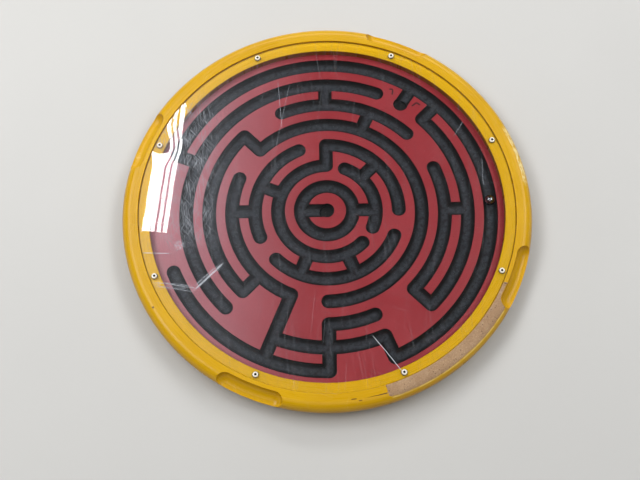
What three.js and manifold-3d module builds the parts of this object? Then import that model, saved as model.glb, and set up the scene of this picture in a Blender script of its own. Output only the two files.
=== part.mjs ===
// Tilt maze game: a round tray held in two hands and tilted, so that a steel ball rolls along
// tracks routed in its face, under a clear cover. Millimetres, +Z up. The origin is on the
// surface that the feet stand on, under the middle of the tray.
import * as THREE from "three";
import { mergeVertices } from "three/addons/utils/BufferGeometryUtils.js";
import Module from "manifold-3d";

const wasm = await Module();
wasm.setup();

// ---------- driving dimensions ----------
const outerRadius = 300;
const ledgeInnerRadius = 260;
const rimThickness = 28;
const coverThickness = 4;
const coverRebateRadius = 275.5;
const boardThickness = 19;
const boardFaceDepth = 16;
const footHeight = 4;
const skinThickness = 0.45;
const skinGap = 0.15;
const contactGap = 0.3;

// Heights, from the feet up.
const boardBottom = footHeight;
const boardFace = boardBottom + boardThickness;
const rimTop = boardFace + boardFaceDepth;
const rimBottom = rimTop - rimThickness;
const ledgeTop = rimTop - coverThickness;

// How far a cutting shape passes beyond the surface that it opens.
const overcut = 1;

// The rim's edge is one half circle of this radius, from the top face to the bottom face.
const noseRadius = rimThickness / 2;
const noseCentreRadius = outerRadius - noseRadius;
const noseCentreHeight = rimTop - noseRadius;
const boardRebateRadius = 272;
const boardRadius = boardRebateRadius - contactGap;
const coverClearance = 1;
const coverRadius = coverRebateRadius - coverClearance;

// Tracks: seven concentric rings cut by one round-nosed cutter.
const firstRingRadius = 38.25;
const ringPitch = 33.75;
const ringCount = 7;
const trackHalfWidth = 10.25;
const trackDepth = 10;
const cupRadius = 11;
const cupDepth = 14;

// Each arc: ring number, then the angles in degrees where the cutter starts and stops.
const trackArcs = [
  { ring: 2, from: 90, to: 315 },
  { ring: 2, from: -22.5, to: 67.5 },
  { ring: 3, from: 112.5, to: 202.5 },
  { ring: 3, from: 225, to: 337.5 },
  { ring: 3, from: 0, to: 90 },
  { ring: 4, from: 157.5, to: 247.5 },
  { ring: 4, from: 270, to: 495 },
  { ring: 5, from: 135, to: 225 },
  { ring: 5, from: 270, to: 292.5 },
  { ring: 5, from: 315, to: 382.5 },
  { ring: 5, from: 45, to: 112.5 },
  { ring: 6, from: 67.5, to: 225 },
  { ring: 6, from: 247.5, to: 292.5 },
  { ring: 6, from: 315, to: 405 },
  { ring: 7, from: 202.5, to: 270 },
  { ring: 7, from: 292.5, to: 517.5 },
];

// Each link joins two rings along one radius; ring 0 is the middle of the board.
const trackLinks = [
  { angle: 0, rings: [1, 2] },
  { angle: 0, rings: [5, 6] },
  { angle: 180, rings: [0, 1] },
  { angle: 180, rings: [3, 4] },
  { angle: 90, rings: [2, 3] },
  { angle: 90, rings: [5, 6] },
  { angle: 45, rings: [2, 3] },
  { angle: 45, rings: [6, 7] },
  { angle: 157.5, rings: [2, 3] },
  { angle: 157.5, rings: [6, 7] },
  { angle: 247.5, rings: [2, 3] },
  { angle: 247.5, rings: [4, 7] },
  { angle: 292.5, rings: [2, 3] },
  { angle: 292.5, rings: [6, 7] },
  { angle: 225, rings: [4, 5] },
  { angle: 67.5, rings: [4, 5] },
  { angle: 135, rings: [4, 5] },
  { angle: 315, rings: [5, 6] },
  { angle: 270, rings: [5, 7] },
  { angle: 56.25, rings: [6, 7] },
];
const sideCupAngle = 56.25;
const sideCupRing = 6;

// Ball, at rest in the outermost ring.
const ballRadius = 8;
const ballRestAngle = 3;

// Finger scoops: a round-nosed cutter swept along a short arc over the rim's outer edge.
const scoopRadius = 14;
const scoopPathRadius = 295.5;
const scoopPathDepth = 0.5;
const scoopPathHeight = rimTop - scoopPathDepth;
const scoopHalfAngle = 6.9;
const scoopAngles = [67.5, 157.5, 247.5, 337.5];

// The skin has peeled off the top of the rim along this arc, in degrees. It stops short of
// the scoops, which keep a border of skin round their edges.
const peelFrom = -74;
const peelTo = -27;
const peelOuterRadius = 294.5;
const scoopBorder = 1;

// Under the rim the skin is folded in as far as this radius.
const skinEdgeRadius = 282;

// Fasteners and feet.
const fastenerCount = 8;
const coverScrewCircle = 268;
const coverScrewFirstAngle = 22.5;
const coverScrewHeadRadius = 4;
const coverScrewHeadHeight = 2.2;
const coverScrewShankRadius = 2;
const coverScrewLength = 13;
const coverScrewHexRadius = 1.3;
const coverScrewHexDepth = 1.4;
const washerRadius = 4.6;
const washerThickness = 0.75;
const washerRecess = 2;
const coverHoleRadius = 2.5;
const screwTipLength = 3;

// Share of a domed head's radius and height at its lower, middle and upper edges.
const domeShape = [[1, 0.4], [0.78, 0.85], [0.45, 1]];

const boardScrewCircle = 266;
const boardScrewHeadRadius = 4;
const boardScrewHeadHeight = 2.5;
const boardScrewShankRadius = 2;
const boardScrewLength = 27;
const boardScrewSocketRadius = 1.5;
const boardScrewSocketDepth = 1.25;
const footCount = 4;
const footCircle = 259;
const footFirstAngle = 22.5;
const footRadius = 11;
const footChamfer = 1.2;
const footHoleRadius = 2.3;
const footCounterboreRadius = 4.4;
const footCounterboreDepth = 2.5;
const footScrewHeadRadius = 3.9;
const footScrewHeadHeight = 1.75;
const footScrewShankRadius = 1.75;
const footScrewLength = 10;
const footScrewTipLength = 2;
const footScrewDomeShape = [[0.55, 1], [1, 0.4]];

// Facets round each kind of turned shape.
const rimSegments = 48;
const noseSteps = 6;
const cutterSegments = 12;
const headSegments = 10;
const shankSegments = 8;
const footSegments = 14;
const sectorSegments = 8;
const scoopSteps = 3;
const ballSegments = 16;
const mergeDistance = 1e-4;
const weldDistance = 0.01;

// ---------- helpers ----------
const radians = THREE.MathUtils.degToRad;

function placeOnCircle(object, radius, angle, height = 0) {
  const turn = radians(angle);
  object.position.set(radius * Math.cos(turn), radius * Math.sin(turn), height);
  object.rotation.z = turn;
  return object;
}

function movedGeometry(geometry, radius, angle, height = 0) {
  const place = placeOnCircle(new THREE.Object3D(), radius, angle, height);
  place.updateMatrix();
  return geometry.clone().applyMatrix4(place.matrix);
}

// A shape turned about +Z. The profile's points are [radius, height], anticlockwise.
function turned(profile, segments) {
  const points = profile.map(([radius, height]) => new THREE.Vector2(radius, height));
  return new THREE.LatheGeometry(points, segments).rotateX(Math.PI / 2);
}

function closedProfile(profile) {
  return [...profile, profile[0]];
}

function solidFrom(geometry) {
  const bare = geometry.clone();
  bare.deleteAttribute("normal");
  bare.deleteAttribute("uv");
  const merged = mergeVertices(bare, mergeDistance);
  const vertProperties = new Float32Array(merged.attributes.position.array);
  const triVerts = new Uint32Array(merged.index.array);
  return new wasm.Manifold(new wasm.Mesh({ numProp: 3, vertProperties, triVerts }));
}

function geometryFrom(solid) {
  const mesh = solid.simplify(weldDistance).getMesh();
  const geometry = new THREE.BufferGeometry();
  geometry.setAttribute("position", new THREE.BufferAttribute(mesh.vertProperties, 3));
  geometry.setIndex(new THREE.BufferAttribute(mesh.triVerts, 1));
  geometry.computeVertexNormals();
  return geometry;
}

function cutAway(base, cutters) {
  return cutters.reduce((solid, cutter) => solid.subtract(cutter), base);
}

function joined(solids) {
  return solids.reduce((total, solid) => total.add(solid));
}

// A six-sided prism on the Z axis, from a socket's floor up past the face that it opens.
function socketCutter(radius, low, high) {
  return solidFrom(new THREE.CylinderGeometry(radius, radius, high - low, 6)
    .rotateX(Math.PI / 2)
    .translate(0, 0, (low + high) / 2));
}

// An arc at one height, centred on the Z axis, for a section to be swept along.
class LevelArc extends THREE.Curve {
  constructor(radius, from, to, height) {
    super();
    Object.assign(this, { radius, from, to, height });
  }

  getPoint(t, target = new THREE.Vector3()) {
    const turn = radians(THREE.MathUtils.lerp(this.from, this.to, t));
    return target.set(this.radius * Math.cos(turn), this.radius * Math.sin(turn), this.height);
  }
}

// ---------- rim ----------
// The rim's section, inset by a distance from its finished surface.
function rimProfile(inset) {
  const nose = [];
  for (let i = 0; i <= noseSteps; i += 1) {
    const turn = radians(-90 + (180 * i) / noseSteps);
    const reach = noseRadius - inset;
    nose.push([
      noseCentreRadius + reach * Math.cos(turn),
      noseCentreHeight + reach * Math.sin(turn),
    ]);
  }
  return closedProfile([
    [boardRebateRadius, rimBottom + inset],
    ...nose,
    [coverRebateRadius + inset, rimTop - inset],
    [coverRebateRadius + inset, ledgeTop - inset],
    [ledgeInnerRadius + inset, ledgeTop - inset],
    [ledgeInnerRadius + inset, boardFace],
    [boardRebateRadius, boardFace],
  ]);
}

function scoopCutter(radius, angle) {
  const section = new THREE.Shape();
  section.absarc(0, 0, radius, 0, 2 * Math.PI);
  const from = angle - scoopHalfAngle;
  const to = angle + scoopHalfAngle;
  const path = new LevelArc(scoopPathRadius, from, to, scoopPathHeight);
  const sweep = solidFrom(new THREE.ExtrudeGeometry(section, {
    steps: scoopSteps,
    curveSegments: cutterSegments / 2,
    bevelEnabled: false,
    extrudePath: path,
  }));
  const ball = new THREE.SphereGeometry(radius, cutterSegments, cutterSegments / 2)
    .rotateX(Math.PI / 2);
  const ends = [from, to].map((end) => {
    return solidFrom(movedGeometry(ball, scoopPathRadius, end, scoopPathHeight));
  });
  return joined([sweep, ...ends]);
}

function rimBody(inset) {
  const body = solidFrom(turned(rimProfile(inset), rimSegments));
  return cutAway(body, scoopAngles.map((angle) => scoopCutter(scoopRadius + inset, angle)));
}

// A flat-sided sector of a ring, standing from one height to another.
function sectorBlock(innerRadius, sectorRadius, from, to, low, high) {
  const outline = new THREE.Shape();
  outline.absarc(0, 0, sectorRadius, radians(from), radians(to), false);
  outline.absarc(0, 0, innerRadius, radians(to), radians(from), true);
  outline.closePath();
  const options = { depth: high - low, curveSegments: sectorSegments, bevelEnabled: false };
  return new THREE.ExtrudeGeometry(outline, options).translate(0, 0, low);
}

function peelCutter() {
  const innerRadius = coverRebateRadius + skinThickness + contactGap;
  const high = rimTop + overcut;
  const block = sectorBlock(innerRadius, peelOuterRadius, peelFrom, peelTo, ledgeTop, high);
  const borders = scoopAngles.map((angle) => scoopCutter(scoopRadius + scoopBorder, angle));
  return cutAway(solidFrom(block), borders);
}

function rimSkin() {
  const skin = rimBody(0).subtract(rimBody(skinThickness));
  const edgeBlock = turned([
    [0, rimBottom - overcut],
    [skinEdgeRadius, rimBottom - overcut],
    [skinEdgeRadius, boardFace - contactGap],
    [boardRebateRadius - overcut, boardFace - contactGap],
    [boardRebateRadius - overcut, boardFace + contactGap],
    [0, boardFace + contactGap],
  ], rimSegments);
  return geometryFrom(cutAway(skin, [solidFrom(edgeBlock), peelCutter(), ...coverPilotHoles()]));
}

function pilotHole(radius, length) {
  return new THREE.CylinderGeometry(radius, radius, length, shankSegments)
    .rotateX(Math.PI / 2)
    .translate(0, 0, length / 2);
}

function holesOnCircle(hole, count, radius, firstAngle, height) {
  const holes = [];
  for (let i = 0; i < count; i += 1) {
    holes.push(solidFrom(movedGeometry(hole, radius, firstAngle + (360 * i) / count, height)));
  }
  return holes;
}

function coverPilotHoles() {
  const hole = pilotHole(coverScrewShankRadius + contactGap, coverScrewLength);
  const low = rimTop - washerRecess + washerThickness - coverScrewLength - contactGap;
  return holesOnCircle(hole, fastenerCount, coverScrewCircle, coverScrewFirstAngle, low);
}

function rimCore() {
  const boardPilot = pilotHole(boardScrewShankRadius + contactGap, boardScrewLength);
  const low = boardBottom + 2 * contactGap;
  const boardPilots = holesOnCircle(boardPilot, fastenerCount, boardScrewCircle, 0, low);
  return geometryFrom(cutAway(rimBody(skinThickness + skinGap), [...coverPilotHoles(), ...boardPilots]));
}

// ---------- clear cover ----------
function clearCover() {
  const disc = turned([
    [0, ledgeTop],
    [coverRadius, ledgeTop],
    [coverRadius, rimTop],
    [0, rimTop],
  ], rimSegments);
  const hole = turned([
    [0, ledgeTop - overcut],
    [coverHoleRadius, ledgeTop - overcut],
    [coverHoleRadius, rimTop - washerRecess],
    [washerRadius + contactGap, rimTop - washerRecess],
    [washerRadius + contactGap, rimTop + overcut],
    [0, rimTop + overcut],
  ], cutterSegments);
  const holes = holesOnCircle(hole, fastenerCount, coverScrewCircle, coverScrewFirstAngle, 0);
  return geometryFrom(cutAway(solidFrom(disc), holes));
}

// ---------- maze board ----------
function ringRadius(ring) {
  return ring === 0 ? 0 : firstRingRadius + ringPitch * (ring - 1);
}

// Half of the cutter's outline, from its tip up to just above the board's face.
function cutterOutline() {
  const tipHalfWidth = trackHalfWidth * Math.tan(Math.PI / 8);
  return [
    [tipHalfWidth, -trackDepth],
    [trackHalfWidth, tipHalfWidth - trackDepth],
    [trackHalfWidth, overcut],
  ];
}

// The whole outline across the cutter, from one upper corner round to the other.
function wholeOutline() {
  const half = cutterOutline();
  return [...half, ...half.map(([width, height]) => [-width, height]).reverse()];
}

// The track's section with its height along x and its width along y, as a sweep needs it.
function trackSection() {
  return new THREE.Shape(wholeOutline().map(([width, height]) => new THREE.Vector2(-height, width)));
}

// Flat steps in an eighth of a turn: fewer on the three inner rings.
function stepsPerEighth(radius) {
  return radius < ringRadius(4) ? 4 : 6;
}

function sweptTrack(radius, from, to) {
  const steps = Math.max(1, Math.round(((to - from) / 45) * stepsPerEighth(radius)));
  const path = new LevelArc(radius, from, to, boardFace);
  const options = { steps, bevelEnabled: false, extrudePath: path };
  return solidFrom(new THREE.ExtrudeGeometry(trackSection(), options));
}

function plunge(radius, angle) {
  const profile = [[0, -trackDepth], ...cutterOutline(), [0, overcut]];
  return solidFrom(movedGeometry(turned(profile, cutterSegments), radius, angle, boardFace));
}

function cup(radius, angle) {
  const profile = [[0, -cupDepth], [cupRadius, -cupDepth], [cupRadius, overcut], [0, overcut]];
  return solidFrom(movedGeometry(turned(profile, footSegments), radius, angle, boardFace));
}

function fullRing(radius) {
  const profile = wholeOutline().map(([width, height]) => [radius + width, boardFace + height]);
  return solidFrom(turned(closedProfile(profile), 8 * stepsPerEighth(radius)));
}

function radialTrack(angle, fromRing, toRing) {
  const fromRadius = ringRadius(fromRing);
  const length = ringRadius(toRing) - fromRadius;
  const shape = new THREE.Shape(wholeOutline().map((corner) => new THREE.Vector2(...corner)));
  const bar = new THREE.ExtrudeGeometry(shape, { depth: length, bevelEnabled: false })
    .rotateX(Math.PI / 2)
    .rotateZ(Math.PI / 2);
  return solidFrom(movedGeometry(bar, fromRadius, angle, boardFace));
}

function mazeCutters() {
  const cutters = [fullRing(ringRadius(1)), cup(0, 0), cup(ringRadius(sideCupRing), sideCupAngle)];
  for (const { ring, from, to } of trackArcs) {
    const radius = ringRadius(ring);
    cutters.push(sweptTrack(radius, from, to), plunge(radius, from), plunge(radius, to));
  }
  for (const { angle, rings } of trackLinks) {
    cutters.push(radialTrack(angle, ...rings));
  }
  return cutters;
}

function boardScrewHole() {
  const reach = boardScrewShankRadius + contactGap;
  return turned([
    [0, -overcut],
    [boardScrewHeadRadius + contactGap, -overcut],
    [boardScrewHeadRadius + contactGap, contactGap],
    [reach, boardScrewHeadHeight + 2 * contactGap],
    [reach, boardThickness + overcut],
    [0, boardThickness + overcut],
  ], shankSegments);
}

function mazeBoard() {
  const blank = solidFrom(turned([
    [0, boardBottom],
    [boardRadius, boardBottom],
    [boardRadius, boardFace],
    [0, boardFace],
  ], rimSegments));
  const footPilot = pilotHole(footScrewShankRadius + contactGap, footScrewLength + overcut);
  return geometryFrom(cutAway(blank, [
    joined(mazeCutters()),
    ...holesOnCircle(boardScrewHole(), fastenerCount, boardScrewCircle, 0, boardBottom),
    ...holesOnCircle(footPilot, footCount, footCircle, footFirstAngle, footHeight - overcut),
  ]));
}

// ---------- fasteners ----------
// A domed head with a hexagon socket, over a plain shank. Height 0 is under the head.
function coverScrew() {
  const dome = domeShape.map(([width, height]) => {
    return [coverScrewHeadRadius * width, coverScrewHeadHeight * height];
  });
  const body = turned([
    [0, -coverScrewLength],
    [coverScrewShankRadius, screwTipLength - coverScrewLength],
    [coverScrewShankRadius, 0],
    [coverScrewHeadRadius, 0],
    ...dome,
    [0, coverScrewHeadHeight],
  ], headSegments);
  const socketFloor = coverScrewHeadHeight - coverScrewHexDepth;
  const socket = socketCutter(coverScrewHexRadius, socketFloor, coverScrewHeadHeight + overcut);
  return geometryFrom(solidFrom(body).subtract(socket));
}

function coverWasher() {
  return turned(closedProfile([
    [coverHoleRadius, 0],
    [washerRadius, 0],
    [washerRadius, washerThickness],
    [coverHoleRadius, washerThickness],
  ]), headSegments);
}

// A countersunk head at the bottom and a shank that points up. Height 0 is the head's face.
function boardScrew() {
  const body = turned([
    [0, 0],
    [boardScrewHeadRadius, 0],
    [boardScrewShankRadius, boardScrewHeadHeight],
    [boardScrewShankRadius, boardScrewLength - screwTipLength],
    [0, boardScrewLength],
  ], shankSegments);
  const socket = socketCutter(boardScrewSocketRadius, -overcut, boardScrewSocketDepth);
  return geometryFrom(solidFrom(body).subtract(socket));
}

// ---------- feet ----------
function foot() {
  return turned(closedProfile([
    [footCounterboreRadius, 0],
    [footRadius - footChamfer, 0],
    [footRadius, footChamfer],
    [footRadius, footHeight],
    [footHoleRadius, footHeight],
    [footHoleRadius, footCounterboreDepth],
    [footCounterboreRadius, footCounterboreDepth],
  ]), footSegments);
}

// A low domed head below a shank that points up. Height 0 is where the head meets the foot.
function footScrew() {
  const dome = footScrewDomeShape.map(([width, height]) => {
    return [footScrewHeadRadius * width, -footScrewHeadHeight * height];
  });
  return turned([
    [0, -footScrewHeadHeight],
    ...dome,
    [footScrewHeadRadius, 0],
    [footScrewShankRadius, 0],
    [footScrewShankRadius, footScrewLength - footScrewTipLength],
    [0, footScrewLength],
  ], shankSegments);
}

// ---------- ball ----------
function steelBall() {
  return new THREE.SphereGeometry(ballRadius, ballSegments, 0.75 * ballSegments)
    .rotateX(Math.PI / 2);
}

// ---------- assembly ----------
function material(color, roughness, metalness = 0) {
  return new THREE.MeshStandardMaterial({ color, roughness, metalness });
}

const finishes = {
  board: () => material(0x9c3a44, 0.55),
  mdf: () => material(0xa58a6d, 0.85),
  skin: () => material(0xe4b010, 0.25),
  clear: () => material(0xf2f6f7, 0.05),
  screw: () => material(0xc9cbcd, 0.3, 1),
  rubber: () => material(0x1c1c1e, 0.8),
  ball: () => material(0xb9bcc0, 0.12, 1),
};

function named(name, geometry, finish) {
  const mesh = new THREE.Mesh(geometry, finishes[finish]());
  mesh.name = name;
  return mesh;
}

function ringOfPieces(name, geometry, finish, count, radius, firstAngle, height) {
  const pieces = [];
  for (let i = 0; i < count; i += 1) {
    const piece = named(`${name}_${i + 1}`, geometry, finish);
    pieces.push(placeOnCircle(piece, radius, firstAngle + (360 * i) / count, height));
  }
  return pieces;
}

const washerHeight = rimTop - washerRecess;
const screwHeight = washerHeight + washerThickness;
const ballHeight = boardFace - trackDepth + contactGap + ballRadius;
const outerTrack = ringRadius(ringCount);

const ball = named("steel_ball", steelBall(), "ball");
placeOnCircle(ball, outerTrack, ballRestAngle, ballHeight);

const mazeGame = new THREE.Group();
mazeGame.add(
  named("maze_board", mazeBoard(), "board"),
  named("rim_core", rimCore(), "mdf"),
  named("rim_skin", rimSkin(), "skin"),
  named("clear_cover", clearCover(), "clear"),
  ball,
  ...ringOfPieces("cover_washer", coverWasher(), "rubber", fastenerCount, coverScrewCircle,
    coverScrewFirstAngle, washerHeight),
  ...ringOfPieces("cover_screw", coverScrew(), "screw", fastenerCount, coverScrewCircle,
    coverScrewFirstAngle, screwHeight),
  ...ringOfPieces("board_screw", boardScrew(), "screw", fastenerCount, boardScrewCircle,
    0, boardBottom + contactGap),
  ...ringOfPieces("foot", foot(), "rubber", footCount, footCircle, footFirstAngle, 0),
  ...ringOfPieces("foot_screw", footScrew(), "screw", footCount, footCircle, footFirstAngle,
    footCounterboreDepth),
);

export default mazeGame;
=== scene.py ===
"""Tilt maze game: the looks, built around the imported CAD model.

Lengths are in metres and angles in degrees, unless a comment says otherwise. Every piece is made
in the CAD model's own frame: the origin is under the middle of the tray, and +Z is up.
"""

import math
import random

import bmesh
import bpy
import numpy as np
from mathutils import Matrix, Vector, noise


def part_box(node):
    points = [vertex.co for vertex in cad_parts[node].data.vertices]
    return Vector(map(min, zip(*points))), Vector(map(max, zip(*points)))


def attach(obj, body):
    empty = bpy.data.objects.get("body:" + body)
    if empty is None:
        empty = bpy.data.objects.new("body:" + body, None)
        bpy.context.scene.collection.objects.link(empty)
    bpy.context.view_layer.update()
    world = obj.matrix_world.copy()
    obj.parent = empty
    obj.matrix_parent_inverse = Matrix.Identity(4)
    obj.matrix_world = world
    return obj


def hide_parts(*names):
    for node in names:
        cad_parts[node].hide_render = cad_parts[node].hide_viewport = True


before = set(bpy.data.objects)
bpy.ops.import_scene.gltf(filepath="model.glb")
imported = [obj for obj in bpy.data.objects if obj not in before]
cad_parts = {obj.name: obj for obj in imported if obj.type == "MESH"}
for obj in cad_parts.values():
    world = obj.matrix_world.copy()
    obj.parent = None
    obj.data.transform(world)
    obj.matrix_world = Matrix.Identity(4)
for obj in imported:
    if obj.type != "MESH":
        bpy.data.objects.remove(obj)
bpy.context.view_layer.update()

MM = 0.001
TRAY = "tray"
BALL = "ball"
WHITE = (1, 1, 1, 1)
STUDIO_WHITE = (0.98, 0.99, 1, 1)

# How far a cutting shape passes beyond the surface that it opens.
OVERCUT = 1 * MM

# Facets round the board's and the cover's outer edge.
DISC_SEGMENTS = 240

# ---------- places and sizes, from the CAD model ----------
RIM_LOW, RIM_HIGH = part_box("rim_skin")
COVER_LOW, COVER_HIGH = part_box("clear_cover")
BOARD_LOW, BOARD_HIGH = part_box("maze_board")
OUTER_RADIUS = RIM_HIGH.x
RIM_BOTTOM = RIM_LOW.z
RIM_TOP = RIM_HIGH.z
LEDGE_TOP = COVER_LOW.z
COVER_RADIUS = COVER_HIGH.x
BOARD_RADIUS = BOARD_HIGH.x
BOARD_FACE = BOARD_HIGH.z
BOARD_BOTTOM = BOARD_LOW.z

# ---------- the rim's own dimensions ----------
NOSE_RADIUS = (RIM_TOP - RIM_BOTTOM) / 2
NOSE_CENTRE_RADIUS = OUTER_RADIUS - NOSE_RADIUS
NOSE_CENTRE_HEIGHT = RIM_TOP - NOSE_RADIUS
LEDGE_INNER_RADIUS = 260 * MM
COVER_REBATE_RADIUS = COVER_RADIUS + 1 * MM
BOARD_REBATE_RADIUS = BOARD_RADIUS + 0.3 * MM
SKIN_EDGE_RADIUS = 282 * MM
SKIN_THICKNESS = 0.45 * MM
CORE_INSET = 0.6 * MM
CORNER_RADIUS = 0.9 * MM

# ---------- finger scoops: a round-nosed cutter swept along a short arc ----------
SCOOP_RADIUS = 14 * MM
SCOOP_PATH_RADIUS = 295.5 * MM
SCOOP_PATH_HEIGHT = RIM_TOP - 0.5 * MM
SCOOP_HALF_ANGLE = 6.9
SCOOP_ANGLES = (-112.5, -22.5, 67.5, 157.5)

# The scoops' path from the middle of the nose.
PATH_OUT = SCOOP_PATH_RADIUS - NOSE_CENTRE_RADIUS
PATH_UP = SCOOP_PATH_HEIGHT - NOSE_CENTRE_HEIGHT

# ---------- the peeled part of the skin, and the slit that runs on from it ----------
PEEL_FROM = -74.0
PEEL_TO = -25.8
SLIT_FROM = -80.5
SLIT_HALF_WIDTH = 0.65 * MM

# ---------- cover screws and feet ----------
SCREW_CIRCLE = 268 * MM
SCREW_COUNT = 8
SCREW_PITCH = 360 / SCREW_COUNT
FOOT_COUNT = 4

# ---------- tracks: arcs are (ring, from, to), links are (angle, inner ring, outer ring) ----------
FIRST_RING_RADIUS = 38.25 * MM
RING_PITCH = 33.75 * MM
TRACK_HALF_WIDTH = 10.25 * MM
TRACK_DEPTH = 10 * MM
TRACK_ARRIS = 0.6 * MM
CUP_RADIUS = 11 * MM
CUP_DEPTH = 14 * MM
TRACK_ARCS = (
    (2, 90, 315), (2, -22.5, 67.5),
    (3, 112.5, 202.5), (3, 225, 337.5), (3, 0, 90),
    (4, 157.5, 247.5), (4, 270, 495),
    (5, 135, 225), (5, 270, 292.5), (5, 315, 382.5), (5, 45, 112.5),
    (6, 67.5, 225), (6, 247.5, 292.5), (6, 315, 405),
    (7, 202.5, 270), (7, 292.5, 517.5),
)
TRACK_LINKS = (
    (0, 1, 2), (0, 5, 6), (180, 0, 1), (180, 3, 4), (90, 2, 3), (90, 5, 6),
    (45, 2, 3), (45, 6, 7), (157.5, 2, 3), (157.5, 6, 7), (247.5, 2, 3), (247.5, 4, 7),
    (292.5, 2, 3), (292.5, 6, 7), (225, 4, 5), (67.5, 4, 5), (135, 4, 5), (315, 5, 6),
    (270, 5, 7), (56.25, 6, 7),
)
SIDE_CUP_RING = 6
SIDE_CUP_ANGLE = 56.25


# ---------- mesh helpers ----------
def polar(radius, angle, height=0.0):
    turn = math.radians(angle)
    return Vector((radius * math.cos(turn), radius * math.sin(turn), height))


def linked(name, data):
    piece = bpy.data.objects.new(name, data)
    bpy.context.scene.collection.objects.link(piece)
    return piece


def shifted(piece, place):
    """The piece with its mesh moved to a place."""
    piece.data.transform(Matrix.Translation(place))
    return piece


def wrapped(angle):
    """The same direction as an angle from -180 up to 180."""
    return (angle + 180) % 360 - 180


def wander(x, y=0.0, z=0.0):
    """Smooth noise from about -1 to 1 at a point."""
    return noise.noise(Vector((x, y, z)))


def welded(mesh, distance=1e-7):
    """Joins vertices that coincide, drops faces with no area and turns every face outward."""
    work = bmesh.new()
    work.from_mesh(mesh)
    bmesh.ops.remove_doubles(work, verts=work.verts, dist=distance)
    bmesh.ops.dissolve_degenerate(work, edges=work.edges, dist=distance)
    bmesh.ops.recalc_face_normals(work, faces=work.faces)
    work.to_mesh(mesh)
    work.free()
    return mesh


def grid_faces(columns, rows, closed_round, closed_across, keep=None):
    """Quads of a grid of columns by rows, as an array of four vertex numbers each."""
    across = np.arange(rows if closed_across else rows - 1)
    along = np.arange(columns if closed_round else columns - 1)
    i, j = np.meshgrid(along, across, indexing="ij")
    if keep is not None:
        chosen = keep[i, j]
        i, j = i[chosen], j[chosen]
    next_i, next_j = (i + 1) % columns, (j + 1) % rows
    corners = (i * rows + j, next_i * rows + j, next_i * rows + next_j, i * rows + next_j)
    return np.stack([c.ravel() for c in corners], axis=1)


def grid_mesh(name, points, closed_round=False, closed_across=False, keep=None):
    """A mesh over points[column, row, xyz]. keep[column, row] says which quads are made."""
    columns, rows = points.shape[:2]
    faces = grid_faces(columns, rows, closed_round, closed_across, keep)
    mesh = bpy.data.meshes.new(name)
    mesh.from_pydata(points.reshape(-1, 3).tolist(), [], faces.tolist())
    return mesh


def turned(name, profile, segments=48):
    """A piece turned about its own Z axis from a profile of (radius, height) points."""
    outline = np.array(profile, float)
    turns = np.linspace(0, 2 * np.pi, segments, endpoint=False)[:, None]
    radius, height = outline[:, 0], np.broadcast_to(outline[:, 1], (segments, len(outline)))
    points = np.stack([np.cos(turns) * radius, np.sin(turns) * radius, height], axis=2)
    closed = outline[0, 0] > 0 or outline[-1, 0] > 0
    return linked(name, welded(grid_mesh(name, points, True, closed)))


def disc(name, radius, bottom, top, low_chamfer, high_chamfer=0.0):
    """A flat disc with bevelled edges."""
    profile = [
        (0, bottom), (radius - low_chamfer, bottom), (radius, bottom + low_chamfer),
        (radius, top - high_chamfer), (radius - high_chamfer, top), (0, top),
    ]
    return turned(name, profile, DISC_SEGMENTS)


def quarter_turns(steps):
    return [math.pi / 2 * k / steps for k in range(1, steps + 1)]


def corner(centre, radius, start, stop, steps=5):
    """Points of an arc in a profile, from one angle to another."""
    turns = [math.radians(start + (stop - start) * k / steps) for k in range(steps + 1)]
    return [(centre[0] + radius * math.cos(t), centre[1] + radius * math.sin(t)) for t in turns]


def applied(piece):
    """The piece with its modifiers made part of its mesh."""
    bpy.context.view_layer.update()
    graph = bpy.context.evaluated_depsgraph_get()
    mesh = bpy.data.meshes.new_from_object(piece.evaluated_get(graph))
    piece.modifiers.clear()
    piece.data = mesh
    return piece


def combined(base, operation, others):
    """The base joined with, or cut by, the other pieces, which are used up."""
    for other in others:
        step = base.modifiers.new("combine", "BOOLEAN")
        step.operation = operation
        step.solver = "MANIFOLD"
        step.object = other
    applied(base)
    for other in others:
        bpy.data.objects.remove(other)
    return base


def thickened(piece, thickness):
    """The sheet with a thickness below its surface."""
    solid = piece.modifiers.new("solid", "SOLIDIFY")
    solid.thickness = thickness
    solid.offset = -1
    return applied(piece)


def smooth(piece, sharp_angle=32):
    """Smooth shading, with the edges sharper than an angle kept crisp."""
    piece.data.shade_smooth()
    piece.data.set_sharp_from_angle(angle=math.radians(sharp_angle))
    return piece


def weigh_normals(piece):
    """Lets the large flat faces set the shading at their borders."""
    weighted = piece.modifiers.new("weighted", "WEIGHTED_NORMAL")
    weighted.keep_sharp = True
    weighted.weight = 100
    return applied(piece)


def finished(piece, material, body, slot, *nodes):
    """Gives the piece its material and body, and hides the CAD nodes that it stands for."""
    piece.data.materials.clear()
    piece.data.materials.append(material)
    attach(piece, body)
    if nodes:
        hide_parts(*nodes)
    return piece


# ---------- rim: a section that changes round the ring, as one grid of columns and rows ----------
UPPER_START = -20.0
UPPER_START_TURN = math.radians(UPPER_START)
NOSE_LENGTH = NOSE_RADIUS * math.radians(90 - UPPER_START)
FLAT_END_RADIUS = COVER_REBATE_RADIUS + CORNER_RADIUS
UPPER_LENGTH = NOSE_LENGTH + NOSE_CENTRE_RADIUS - FLAT_END_RADIUS
SLIT_PLACE = NOSE_LENGTH - 0.9 * MM
OUTLINE_SAMPLES = 1600

# Where on the plain outline the scoops' ends run out, and the narrow band of rows there.
BAND_PLACE = (math.atan2(PATH_UP, PATH_OUT) - UPPER_START_TURN) * NOSE_RADIUS
BAND_HALF_WIDTH = 0.6 * MM

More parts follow.
